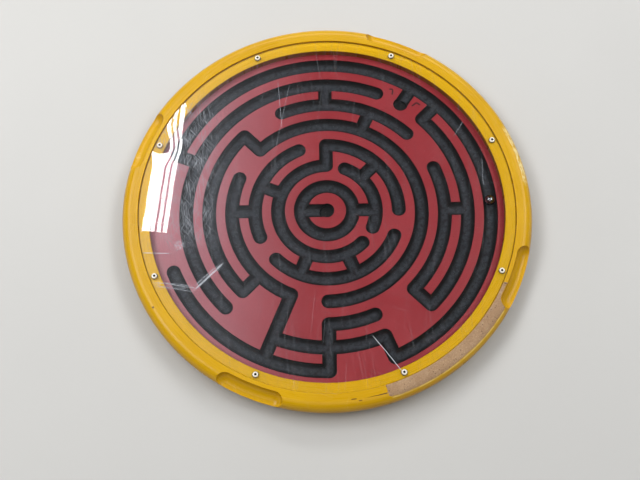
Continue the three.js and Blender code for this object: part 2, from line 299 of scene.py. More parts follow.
# How close the sections stand, in degrees: all round the rim, and along the peel.
SECTION_PITCH = 1.25
PEEL_SECTION_PITCH = 0.3
SMALLEST_PITCH = 0.035
SCOOP_SECTIONS = 15

# How deep the scoop's end has cut into the nose at each section across that end, in millimetres.
SCOOP_END_DEPTHS = (0.02, 0.12, 0.35, 0.8, 1.5, 2.4, 3.5, 4.9, 6.5, 8.2, 9.7, 10.8, 11.4)


def upper_outline(place, inset):
    """Radius and height of the rim's upper outline, place metres along the finished surface."""
    turn = UPPER_START_TURN + np.minimum(place, NOSE_LENGTH) / NOSE_RADIUS
    reach = NOSE_RADIUS - inset
    flat = np.maximum(place - NOSE_LENGTH, 0)
    radius = NOSE_CENTRE_RADIUS + reach * np.cos(turn) - flat
    height = NOSE_CENTRE_HEIGHT + reach * np.sin(turn)
    return radius, height


def scoop_section(angles, inset):
    """For each angle, the scoop's circle in that section: its centre's radius, and its own or 0."""
    widest = 30
    centre = np.full(len(angles), SCOOP_PATH_RADIUS)
    size = np.zeros(len(angles))
    for scoop in SCOOP_ANGLES:
        away = np.abs(wrapped(angles - scoop))
        past = np.radians(np.maximum(away - SCOOP_HALF_ANGLE, 0))
        offset = SCOOP_PATH_RADIUS * np.sin(past)
        full = SCOOP_RADIUS + inset
        here = (away < widest) & (offset < full)
        centre[here] = SCOOP_PATH_RADIUS * np.cos(past[here])
        size[here] = np.sqrt(full**2 - offset[here] ** 2)
    return centre, size


def raggedness(angle, size, wave, seed):
    """How far a torn edge strays at an angle, in metres: long waves with short tears on them."""
    layers = ((1.0, 1.0, 0.0), (0.45, 5.3, 4.0), (0.22, 17.0, 9.0))
    return size * sum(
        weight * wander(angle / wave * rate, seed, layer) for weight, rate, layer in layers
    )


def in_peel(angles):
    margin = 1e-6
    return (angles > PEEL_FROM - margin) & (angles < PEEL_TO + margin)


def scoop_limits(angles, inset):
    """Where each section's scoop starts and stops on the outline, and which sections have one."""
    centre, size = scoop_section(angles, inset)
    place = np.linspace(0, UPPER_LENGTH, OUTLINE_SAMPLES)
    radius, height = upper_outline(place, inset)
    distance = np.hypot(radius - centre[:, None], height - SCOOP_PATH_HEIGHT)
    bitten = distance < size[:, None]
    low = np.full(len(angles), BAND_PLACE - BAND_HALF_WIDTH)
    high = np.full(len(angles), BAND_PLACE + BAND_HALF_WIDTH)
    has_scoop = bitten.any(axis=1)
    first = np.argmax(bitten, axis=1)
    last = bitten.shape[1] - 1 - np.argmax(bitten[:, ::-1], axis=1)
    has_scoop &= (last - first) * (place[1] - place[0]) > 2 * BAND_HALF_WIDTH
    low[has_scoop] = place[first[has_scoop]]
    high[has_scoop] = place[last[has_scoop]]
    fade = 3.0
    for k in np.nonzero(in_peel(angles) & ~has_scoop)[0]:
        share = min(angles[k] - PEEL_FROM, PEEL_TO - angles[k], fade) / fade
        torn_back = raggedness(angles[k], 1.3 * MM, 9.0, 2.0) + 0.6 * MM
        high[k] = BAND_PLACE + BAND_HALF_WIDTH - torn_back * share
        low[k] = high[k] - 2 * BAND_HALF_WIDTH
    return centre, size, low, high, has_scoop


def spread(count, toward_start=False, toward_end=False):
    """Numbers from 0 to 1, closer together towards the ends that are asked for."""
    even = np.linspace(0, 1, count)
    if toward_start and toward_end:
        return 0.5 - 0.5 * np.cos(np.pi * even)
    if toward_end:
        return np.sin(np.pi / 2 * even)
    if toward_start:
        return 1 - np.cos(np.pi / 2 * even)
    return even


def rim_angles():
    """The sections' angles: even, with more of them at the scoops' ends and along the peeled part."""
    reach = math.hypot(PATH_OUT, PATH_UP) - NOSE_RADIUS + np.array(SCOOP_END_DEPTHS) * MM
    ends = np.degrees(np.arcsin(np.sqrt(SCOOP_RADIUS**2 - reach**2) / SCOOP_PATH_RADIUS))
    clear = SCOOP_HALF_ANGLE + ends.max() + 0.1
    even = np.arange(-180, 180, SECTION_PITCH)
    peel = np.arange(SLIT_FROM, PEEL_TO, PEEL_SECTION_PITCH)
    angles = [
        a for a in (*even, *peel) if all(abs(wrapped(a - scoop)) > clear for scoop in SCOOP_ANGLES)
    ]
    inner = np.linspace(-SCOOP_HALF_ANGLE, SCOOP_HALF_ANGLE, SCOOP_SECTIONS)
    offsets = np.concatenate([inner, SCOOP_HALF_ANGLE + ends, -SCOOP_HALF_ANGLE - ends])
    for scoop in SCOOP_ANGLES:
        angles += [wrapped(scoop + offset) for offset in offsets]
    angles += [PEEL_FROM, PEEL_TO]
    angles = np.unique(np.round(angles, 4))
    gaps = np.diff(angles, append=angles[0] + 360)
    return angles[(gaps > SMALLEST_PITCH) | np.isin(angles, [PEEL_FROM, PEEL_TO])]


class RimGrid:
    """The rim's sections as rows of (radius, height), for a surface set in from the finished one."""

    def __init__(self, angles, inset):
        self.angles = angles
        self.inset = inset
        self.parts = []
        self.marks = {}
        limits = scoop_limits(angles, inset)
        self.centre, self.size, self.low, self.high, self.has_scoop = limits

    def add(self, radius, height):
        """Adds rows: arrays of [row], or of [section, row]."""
        radius, height = np.broadcast_arrays(np.atleast_2d(radius), np.atleast_2d(height))
        shape = (len(self.angles), radius.shape[1])
        self.parts.append(np.stack([np.broadcast_to(part, shape) for part in (radius, height)], 2))

    def mark(self, name):
        """Remembers the number of the last row added."""
        self.marks[name] = sum(part.shape[1] for part in self.parts) - 1

    def arc(self, centre_radius, centre_height, reach, start, stop, steps):
        turns = np.radians(np.linspace(start, stop, steps))
        self.add(centre_radius + reach * np.cos(turns), centre_height + reach * np.sin(turns))

    def along(self, start, stop, steps, skip_first=True):
        """Rows along the upper outline, from one place in each section to another."""
        steps = steps[1:] if skip_first else steps
        place = start[:, None] + (stop - start)[:, None] * steps
        self.add(*upper_outline(place, self.inset))

    def scoop_rows(self, count):
        """Rows from the scoop's lower lip to its inner edge: round the cut, or where there is none
        along the plain outline."""
        steps = spread(count, True, True)[1:]
        place = self.low[:, None] + (self.high - self.low)[:, None] * steps
        radius, height = (part.copy() for part in upper_outline(place, self.inset))
        ends = []
        for limit in (self.low, self.high):
            r, h = upper_outline(limit, self.inset)
            ends.append(np.arctan2(h - SCOOP_PATH_HEIGHT, r - self.centre))
        start, stop = ends[0] % (2 * np.pi), ends[1] % (2 * np.pi)
        turns = start[:, None] + (stop - start)[:, None] * steps
        cut_radius = self.centre[:, None] + self.size[:, None] * np.cos(turns)
        cut_height = SCOOP_PATH_HEIGHT + self.size[:, None] * np.sin(turns)
        chosen = self.has_scoop
        radius[chosen] = cut_radius[chosen]
        height[chosen] = cut_height[chosen]
        self.add(radius, height)

    def sections(self):
        return np.concatenate(self.parts, axis=1)


def slit_centre(grid, stop):
    """Where on each section the slit's middle runs, straying a little along its length."""
    least_share = 0.35
    lead_in = 4
    centre = np.maximum(SLIT_PLACE, grid.high + least_share * (stop - grid.high))
    strayed = np.array([raggedness(a, 0.8 * MM, 4.0, 7.0) for a in grid.angles])
    return centre + strayed * (grid.angles > SLIT_FROM - lead_in) * (grid.angles < PEEL_FROM)


def rim_grid(angles, inset, whole):
    """The rim's rows, from under the nose, over the top, to the foot of the inner wall.
    whole adds the rows of the core that the skin doesn't cover, which close the section."""
    grid = RimGrid(angles, inset)
    start_radius = BOARD_REBATE_RADIUS if whole else SKIN_EDGE_RADIUS
    under = np.linspace(start_radius, NOSE_CENTRE_RADIUS, 4)[:-1]
    grid.add(under, RIM_BOTTOM + inset)
    grid.arc(NOSE_CENTRE_RADIUS, NOSE_CENTRE_HEIGHT, NOSE_RADIUS - inset, -90, UPPER_START, 12)
    grid.along(np.zeros(len(angles)), grid.low, spread(13, toward_end=True))
    grid.mark("lip")
    grid.scoop_rows(22)
    grid.mark("edge")
    stop = np.full(len(angles), UPPER_LENGTH)
    slit = slit_centre(grid, stop)
    half_width = SLIT_HALF_WIDTH * np.clip((angles - SLIT_FROM) / 5.0, 0.12, 1.0)
    grid.along(grid.high, slit - half_width, spread(8, toward_start=True))
    grid.mark("slit")
    grid.along(slit + half_width, stop, spread(6), skip_first=False)
    turn_in = CORNER_RADIUS - inset
    grid.arc(FLAT_END_RADIUS, RIM_TOP - CORNER_RADIUS, turn_in, 90, 180, 5)
    grid.mark("rebate")
    wall = COVER_REBATE_RADIUS + inset
    floor = LEDGE_TOP - inset
    corner_drop = 2 * MM
    grid.add(wall, [RIM_TOP - corner_drop, floor])
    inner = LEDGE_INNER_RADIUS + CORNER_RADIUS
    grid.add(np.linspace(wall, inner, 5)[1:-1], floor)
    grid.arc(inner, LEDGE_TOP - CORNER_RADIUS, turn_in, 90, 180, 5)
    wall_foot = BOARD_FACE + 0.2 * MM
    grid.add(LEDGE_INNER_RADIUS + inset, np.linspace(LEDGE_TOP - corner_drop, wall_foot, 4))
    if whole:
        grid.add(BOARD_REBATE_RADIUS, [wall_foot, (BOARD_FACE + RIM_BOTTOM) / 2])
    return grid


def soften_creases(points, grid):
    """Rounds the scoops' edges by evening out the rows and sections next to them."""
    strength, rounds, share_across = 0.4, 2, 0.7
    lip, edge = grid.marks["lip"], grid.marks["edge"]
    rows = np.arange(points.shape[1])
    creases = (abs(rows - lip) <= 2) | (abs(rows - edge) <= 2)
    mouth = (rows >= lip - 1) & (rows <= edge + 1)
    scoop = grid.has_scoop
    tip = scoop & ~(np.roll(scoop, 2) & np.roll(scoop, -2))
    near = scoop | np.roll(scoop, 1) | np.roll(scoop, -1)
    weight = (near[:, None] & creases) | (tip[:, None] & mouth)
    weight = weight[:, 1:-1, None] * strength
    for _ in range(rounds):
        across = (points[:, :-2] + points[:, 2:]) / 2
        along = (np.roll(points, 1, axis=0) + np.roll(points, -1, axis=0))[:, 1:-1] / 2
        target = share_across * across + (1 - share_across) * along
        points[:, 1:-1] += weight * (target - points[:, 1:-1])
    return points


def nearness(angles, place, reach):
    """1 at a place, falling to 0 at reach degrees from it."""
    return np.clip(1 - np.abs(angles - place) / reach, 0, 1)


def peel_edge_shift(grid, row_count):
    """How far, in degrees, each point moves round the ring so that the peel's ends aren't straight.
    The left end is rounded at its outer corner, and the right end slants; both are ragged."""
    rows = np.arange(row_count)
    start, stop = grid.marks["edge"], grid.marks["rebate"]
    share = np.clip((stop - rows) / (stop - start), 0, 1)
    outer_half = np.clip(share - 0.5, 0, 1) / 0.5
    rounding = 1.3 * (1 - np.sqrt(1 - outer_half**2))
    slant = 0.9 * (share - 0.3)
    left_tears = np.array([wander(3.1, s * 6.0) for s in share])
    right_tears = np.array([wander(8.7, s * 4.0) for s in share])
    left = nearness(grid.angles, PEEL_FROM, 2.5)[:, None] * (rounding + 0.2 * left_tears)
    right = nearness(grid.angles, PEEL_TO, 2.0)[:, None] * (slant + 0.7 * right_tears)
    inside = (rows > start - 6) & (rows <= stop)
    return (left + right) * inside


def lift_torn_edges(sections, grid):
    """Raises the skin a little where it has come away, next to the torn edge."""
    least, more = 0.18 * MM, 0.5 * MM
    reach = 9
    wave = 2.6
    edge = grid.marks["edge"]
    rows = np.arange(sections.shape[1])
    outer = np.clip(1 - (edge - rows) / reach, 0, 1) * (rows <= edge)
    for k, angle in enumerate(grid.angles):
        if not in_peel(angle) or grid.has_scoop[k]:
            continue
        height = least + more * max(0.0, wander(angle / wave, 0.0, 1.0))
        away = sections[k] - np.array([NOSE_CENTRE_RADIUS, NOSE_CENTRE_HEIGHT])
        away /= np.linalg.norm(away, axis=1)[:, None]
        sections[k] += away * (outer**2 * height)[:, None]
    return sections


def to_space(sections, angles):
    """Points in space from sections of (radius, height) and an angle for each point."""
    turns = np.radians(angles)
    radius, height = sections[:, :, 0], sections[:, :, 1]
    return np.stack([radius * np.cos(turns), radius * np.sin(turns), height], axis=2)


def make_rim_core():
    grid = rim_grid(rim_angles(), CORE_INSET, whole=True)
    sections = grid.sections()
    angles = np.broadcast_to(grid.angles[:, None], sections.shape[:2])
    points = soften_creases(to_space(sections, angles), grid)
    mesh = grid_mesh("rim_fibreboard", points, closed_round=True, closed_across=True)
    return smooth(linked("rim_fibreboard", welded(mesh)))


def make_rim_skin():
    grid = rim_grid(rim_angles(), 0.0, whole=False)
    sections = lift_torn_edges(grid.sections(), grid)
    angles = grid.angles[:, None] + peel_edge_shift(grid, sections.shape[1])
    points = soften_creases(to_space(sections, angles), grid)
    middle = (grid.angles + np.roll(grid.angles, -1)) / 2
    rows = np.arange(sections.shape[1])
    bare_rows = (rows >= grid.marks["edge"]) & (rows < grid.marks["rebate"])
    slit_rows = rows == grid.marks["slit"]
    torn = in_peel(middle)[:, None] & bare_rows
    in_slit = (middle > SLIT_FROM) & (middle < PEEL_FROM)
    slit = in_slit[:, None] & slit_rows
    mesh = grid_mesh("rim_wrap", points, closed_round=True, keep=~(torn | slit))
    return smooth(thickened(linked("rim_wrap", mesh), SKIN_THICKNESS), 50)


def make_curl():
    """A shred of the skin's backing, rolled up where the skin tore off at the peel's narrow end."""
    rolls, across = 26, 9
    turn_each = 15.5
    first_reach, reach_loss = 1.15, 0.022
    inner_radius, width, narrowing = 277.0, 5.4, 0.05
    axis_height = RIM_TOP + 0.75 * MM
    points = np.zeros((rolls, across, 3))
    for i in range(rolls):
        turn = math.radians(-90 + turn_each * i)
        reach = (first_reach - reach_loss * i) * MM
        for j in range(across):
            share = j / (across - 1)
            ragged = 0.25 * MM * wander(i * 0.35, j * 1.3, 2.0)
            radius = (inner_radius + width * share + (0.5 - share) * i * narrowing) * MM
            angle = PEEL_TO + math.degrees((reach * math.cos(turn) + ragged) / radius)
            lift = (reach + 0.2 * ragged) * math.sin(turn) * (0.75 + 0.25 * share)
            points[i, j] = polar(radius, angle, axis_height + lift)
    curl = linked("torn_backing", grid_mesh("torn_backing", points))
    return smooth(thickened(curl, 0.3 * MM), 60)


# ---------- maze board ----------
CUTTER_TOP = 3 * MM
END_STEPS = 12


def ring_radius(ring):
    return 0.0 if ring == 0 else FIRST_RING_RADIUS + RING_PITCH * (ring - 1)


def cutter_profile():
    """Half of the round-nosed cutter, from beside its tip up, as (offset, height over the face).
    It flares at the top, so that the tracks' edges come out rounded."""
    centre = TRACK_HALF_WIDTH - TRACK_DEPTH
    nose_steps = 9
    top_turn = math.asin((-TRACK_ARRIS - centre) / TRACK_HALF_WIDTH)
    points = []
    for k in range(1, nose_steps + 1):
        turn = -math.pi / 2 + (top_turn + math.pi / 2) * k / nose_steps
        points.append((TRACK_HALF_WIDTH * math.cos(turn), centre + TRACK_HALF_WIDTH * math.sin(turn)))
    wall = points[-1][0]
    lift = 0.02 * MM
    for turn in quarter_turns(3):
        offset = wall + TRACK_ARRIS * (1 - math.cos(turn))
        points.append((offset, lift + TRACK_ARRIS * (math.sin(turn) - 1)))
    return [*points, (points[-1][0], CUTTER_TOP)]


def strip(columns):
    """Points and faces of the cutter's outline round a closed run of columns, each a centre and a
    direction."""
    profile = cutter_profile()
    points = np.zeros((len(columns), len(profile) + 2, 3))
    for k, (centre, direction) in enumerate(columns):
        points[k, 0] = centre + Vector((0, 0, -TRACK_DEPTH))
        points[k, -1] = centre + Vector((0, 0, CUTTER_TOP))
        for j, (offset, height) in enumerate(profile):
            points[k, j + 1] = centre + direction * offset + Vector((0, 0, height))
    return points, grid_faces(len(columns), len(profile) + 2, True, False)


def cutter_piece(*runs):
    """One closed solid from closed runs of columns that meet along the cutter's tip and top."""
    vertices, faces = [], []
    for columns in runs:
        points, quads = strip(columns)
        faces.extend((quads + len(vertices)).tolist())
        vertices.extend(points.reshape(-1, 3).tolist())
    mesh = bpy.data.meshes.new("cutter")
    mesh.from_pydata(vertices, [], faces)
    return linked("cutter", welded(mesh, 1e-6))


def round_end(centre, side, ahead):
    """Columns that turn half way round a centre, from one side to the other."""
    turns = [math.pi * k / END_STEPS for k in range(1, END_STEPS)]
    return [(centre, side * math.cos(turn) + ahead * math.sin(turn)) for turn in turns]


def track_cutter(centres, sides):
    """The cutter's sweep through the centres, with round ends. Each side points across the path."""
    quarter = Matrix.Rotation(math.pi / 2, 3, "Z")
    there = list(zip(centres, sides))
    back = [(centre, -side) for centre, side in reversed(there)]
    columns = there + round_end(centres[-1], sides[-1], quarter @ sides[-1])
    columns += back + round_end(centres[0], -sides[0], -(quarter @ sides[0]))
    return cutter_piece(columns)


def arc_cutter(ring, start, stop):
    step = 2.0 if ring > 3 else 3.0
    angles = np.linspace(start, stop, int((stop - start) / step) + 1)
    centres = [polar(ring_radius(ring), a, BOARD_FACE) for a in angles]
    return track_cutter(centres, [polar(1, a) for a in angles])


def full_ring_cutter(ring):
    angles = np.arange(0, 360, 4.0)
    centres = [polar(ring_radius(ring), a, BOARD_FACE) for a in angles]
    sides = [polar(1, a) for a in angles]
    inward = [(centre, -side) for centre, side in zip(centres, sides)]
    return cutter_piece(list(zip(centres, sides)), inward)


def link_cutter(angle, inner_ring, outer_ring):
    radii = np.linspace(ring_radius(inner_ring), ring_radius(outer_ring), 5)
    centres = [polar(r, angle, BOARD_FACE) for r in radii]
    return track_cutter(centres, [polar(1, angle - 90)] * len(radii))


def cup_cutter(radius, angle):
    fillet = 2 * MM
    profile = [(0, -CUP_DEPTH)]
    profile += corner((CUP_RADIUS - fillet, fillet - CUP_DEPTH), fillet, -90, 0)
    profile += [(CUP_RADIUS, CUTTER_TOP), (0, CUTTER_TOP)]
    return shifted(turned("cup", profile), polar(radius, angle, BOARD_FACE))


def countersink_cutter(node):
    """The hole for a countersunk screw from below, around a CAD screw's place."""
    low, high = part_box(node)
    clearance = 0.3 * MM
    head = (high.x - low.x) / 2 + clearance
    depth = 3 * MM
    profile = [
        (0, -depth), (head, -depth), (head, clearance), (head / 2, depth), (head / 2, 3 * depth),
        (0, 3 * depth),
    ]
    middle = (low + high) / 2
    return shifted(turned("hole", profile, 32), (middle.x, middle.y, BOARD_BOTTOM))


def make_board():
    board = disc("routed_board", BOARD_RADIUS, BOARD_BOTTOM, BOARD_FACE, 0.5 * MM)
    cutters = [arc_cutter(*arc) for arc in TRACK_ARCS]
    cutters += [link_cutter(*link) for link in TRACK_LINKS]
    cutters += [cup_cutter(0, 0), cup_cutter(ring_radius(SIDE_CUP_RING), SIDE_CUP_ANGLE)]
    tracks = combined(full_ring_cutter(1), "UNION", cutters)
    holes = [countersink_cutter(f"board_screw_{k}") for k in range(1, SCREW_COUNT + 1)]
    combined(board, "DIFFERENCE", [tracks, *holes])
    smooth(board, 28)
    return weigh_normals(board)


# ---------- cover ----------
def middle_of(node):
    low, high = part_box(node)
    return (low + high) / 2


def size_of(node):
    """A round CAD part's radius and height."""
    low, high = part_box(node)
    return (high.x - low.x) / 2, high.z - low.z


def cover_hole_cutter(washer):
    """A cover screw's hole, with the recess that its washer lies in."""
    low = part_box(washer)[0]
    recess = size_of(washer)[0] + 0.15 * MM
    bore = 2.5 * MM
    flare = 0.2 * MM
    top = COVER_HIGH.z
    profile = [
        (0, COVER_LOW.z - OVERCUT), (bore, COVER_LOW.z - OVERCUT), (bore, low.z), (recess, low.z),
        (recess, top + 0.05 * MM - flare), (recess + flare, top + 0.05 * MM),
        (recess + flare, top + OVERCUT), (0, top + OVERCUT),
    ]
    middle = middle_of(washer)
    return shifted(turned("hole", profile, 40), (middle.x, middle.y, 0))


def make_cover():
    chamfer = 0.35 * MM
    underside = COVER_LOW.z + 0.12 * MM
    cover = disc("acrylic_cover", COVER_RADIUS, underside, COVER_HIGH.z, chamfer, chamfer)
    holes = [cover_hole_cutter(f"cover_washer_{k}") for k in range(1, SCREW_COUNT + 1)]
    combined(cover, "DIFFERENCE", holes)
    smooth(cover, 20)
    return weigh_normals(cover)


# ---------- fasteners, feet and ball ----------
WASHER_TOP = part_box("cover_washer_1")[1].z
COVER_HEAD_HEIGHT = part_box("cover_screw_1")[1].z - WASHER_TOP
SOCKET_RADIUS = 1.6 * MM
SOCKET_DEPTH = 1.45 * MM
SCREW_CREASE = 38


def thread(root, crest, bottom, top, pitch):
    """A shank's thread, as ridges from the bottom up."""
    points = []
    for k in range(int((top - bottom) / pitch)):
        height = bottom + k * pitch
        points += [(root, height), (crest, height + 0.5 * pitch)]
    return points


def prism(sides, radius, bottom, top, turn=0.0):
    turns = [turn + 2 * math.pi * k / sides for k in range(sides)]
    outline = [(radius * math.cos(t), radius * math.sin(t)) for t in turns]
    points = [(x, y, height) for height in (bottom, top) for x, y in outline]
    walls = [(k, (k + 1) % sides, sides + (k + 1) % sides, sides + k) for k in range(sides)]
    faces = [tuple(reversed(range(sides))), tuple(range(sides, 2 * sides)), *walls]
    mesh = bpy.data.meshes.new("prism")
    mesh.from_pydata(points, [], faces)
    return linked("prism", mesh)


def bar(length, width, bottom, top, turn):
    piece = prism(4, 1, bottom, top, math.pi / 4)
    piece.data.transform(Matrix.Diagonal((length / math.sqrt(2), width / math.sqrt(2), 1, 1)))
    piece.data.transform(Matrix.Rotation(turn, 4, "Z"))
    return piece


def dome(centre_radius, centre_height, reach, rise, steps):
    """A head's rounded edge, from beside its start up to its crown."""
    return [
        (centre_radius + reach * math.cos(t), centre_height + rise * math.sin(t))
        for t in quarter_turns(steps)
    ]


def make_cover_screw():
    """A pan-head screw with a hexagon socket. Its origin is under the middle of the head."""
    head_radius = size_of("cover_screw_1")[0]
    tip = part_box("cover_screw_1")[0].z - WASHER_TOP
    neck = 1.9 * MM
    lip = 0.2 * MM
    edge = 0.9 * MM
    rise = 1.0 * MM
    countersink = 0.25 * MM
    profile = [(0, tip), (1.0 * MM, tip), (1.5 * MM, tip + 0.7 * MM)]
    profile += thread(1.6 * MM, 2.0 * MM, tip + 1 * MM, -1.5 * MM, 0.8 * MM)
    profile += [(neck, -0.6 * MM), (neck, 0), (head_radius - lip, 0)]
    profile += corner((head_radius - lip, lip), lip, -60, 0, 3)
    profile += dome(head_radius - edge, COVER_HEAD_HEIGHT - rise, edge, rise, 7)
    profile += [
        (SOCKET_RADIUS + 0.1 * MM, COVER_HEAD_HEIGHT),
        (SOCKET_RADIUS, COVER_HEAD_HEIGHT - countersink),
        (0, COVER_HEAD_HEIGHT - countersink),
    ]
    screw = turned("socket_screw", profile, 40)
    socket = prism(6, SOCKET_RADIUS, COVER_HEAD_HEIGHT - SOCKET_DEPTH, COVER_HEAD_HEIGHT + OVERCUT)
    combined(screw, "DIFFERENCE", [socket])
    return smooth(screw, SCREW_CREASE)


def make_washer():
    outer, height = size_of("cover_washer_1")
    inner = 2.35 * MM
    soft = 0.22 * MM
    profile = []
    for radius, level, start in (
        (inner + soft, soft, 270),
        (inner + soft, height - soft, 180),
        (outer - soft, height - soft, 90),
        (outer - soft, soft, 0),
    ):
        profile += corner((radius, level), soft, start, start - 90, 3)
    return smooth(turned("rubber_washer", profile, 40))


def wood_screw(name, head, root, length, point, pitch, recess):
    """A screw that stands head down: its head's profile, a thread, a point and a cross recess."""
    crest, start = head[-1]
    run_out = 0.4 * MM
    tip = 0.2 * MM
    profile = head + thread(root, crest, start + run_out, length - point - run_out, pitch)
    profile += [(root, length - point), (tip, length), (0, length)]
    screw = turned(name, profile, 36)
    reach, width, depth = recess
    slots = [bar(reach, width, -OVERCUT, depth, turn) for turn in (0, math.pi / 2)]
    combined(screw, "DIFFERENCE", slots)
    return smooth(screw, SCREW_CREASE)


def make_board_screw():
    """A countersunk screw. Its origin is at the face of its head."""
    radius, length = size_of("board_screw_1")
    shank = 2.0 * MM
    head = [(0, 0), (radius - 0.2 * MM, 0), (radius, 0.25 * MM), (shank, 2.5 * MM), (shank, 6 * MM)]
    recess = (2.0 * MM, 0.45 * MM, 1.3 * MM)
    return wood_screw("countersunk_screw", head, 1.5 * MM, length, 2 * MM, 1.2 * MM, recess)


def make_foot_screw():
    """A pan-head screw. Its origin is at the top of its head."""
    radius, length = size_of("foot_screw_1")
    height = 1.6 * MM
    crown = 0.9 * MM
    head = [(0, 0)]
    head += [(radius * math.sin(t), crown * (1 - math.cos(t))) for t in quarter_turns(6)]
    head += [(radius, height - 0.1 * MM), (radius - 0.1 * MM, height), (1.9 * MM, height)]
    recess = (1.8 * MM, 0.4 * MM, 1.1 * MM)
    return wood_screw("pan_head_screw", head, 1.4 * MM, length, 1.6 * MM, 1.1 * MM, recess)


def make_foot():
    radius, height = size_of("foot_1")
    bore = 2.3 * MM
    recess = 4.4 * MM
    recess_floor = 2.5 * MM
    lip = 0.3 * MM
    soft = 1.0 * MM
    profile = [(bore, height), (bore, recess_floor), (recess, recess_floor)]
    profile += corner((recess + lip, lip), lip, 180, 270, 3)
    profile += corner((radius - soft, soft), soft, -90, -8, 6)
    profile += [(radius - 0.25 * MM, height - 0.3 * MM), (radius - 0.5 * MM, height)]
    return smooth(turned("rubber_foot", profile, 48))


def place_copies(pattern, node, count, material, slot, base=None):
    """Copies of one small part at each CAD node's place, each turned its own way, and each standing
    for its node. The part's origin goes at the height base, or else at the node's lowest point."""
    chance = random.Random(len(node) * 7 + count)
    for k in range(1, count + 1):
        middle = middle_of(f"{node}_{k}")
        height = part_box(f"{node}_{k}")[0].z if base is None else base
        copy = linked(f"{pattern.name}_{k}", pattern.data)
        copy.location = (middle.x, middle.y, height)
        copy.rotation_euler.z = chance.uniform(0, 2 * math.pi)
        finished(copy, material, TRAY, slot, f"{node}_{k}")
    bpy.data.objects.remove(pattern)


def make_ball():
    mesh = bpy.data.meshes.new("ball")
    work = bmesh.new()
    radius = size_of("steel_ball")[0]
    bmesh.ops.create_uvsphere(work, u_segments=64, v_segments=40, radius=radius)
    work.to_mesh(mesh)
    work.free()
    ball = linked("ball", mesh)
    ball.location = middle_of("steel_ball")
    ball.data.shade_smooth()
    return ball


# ---------- node trees ----------
def colour(red, green, blue):
    """A linear colour from screen values of 0 to 255."""
    parts = []
    for value in (red, green, blue):
        share = value / 255
        parts.append(share / 12.92 if share <= 0.04045 else ((share + 0.055) / 1.055) ** 2.4)
    return (*parts, 1.0)


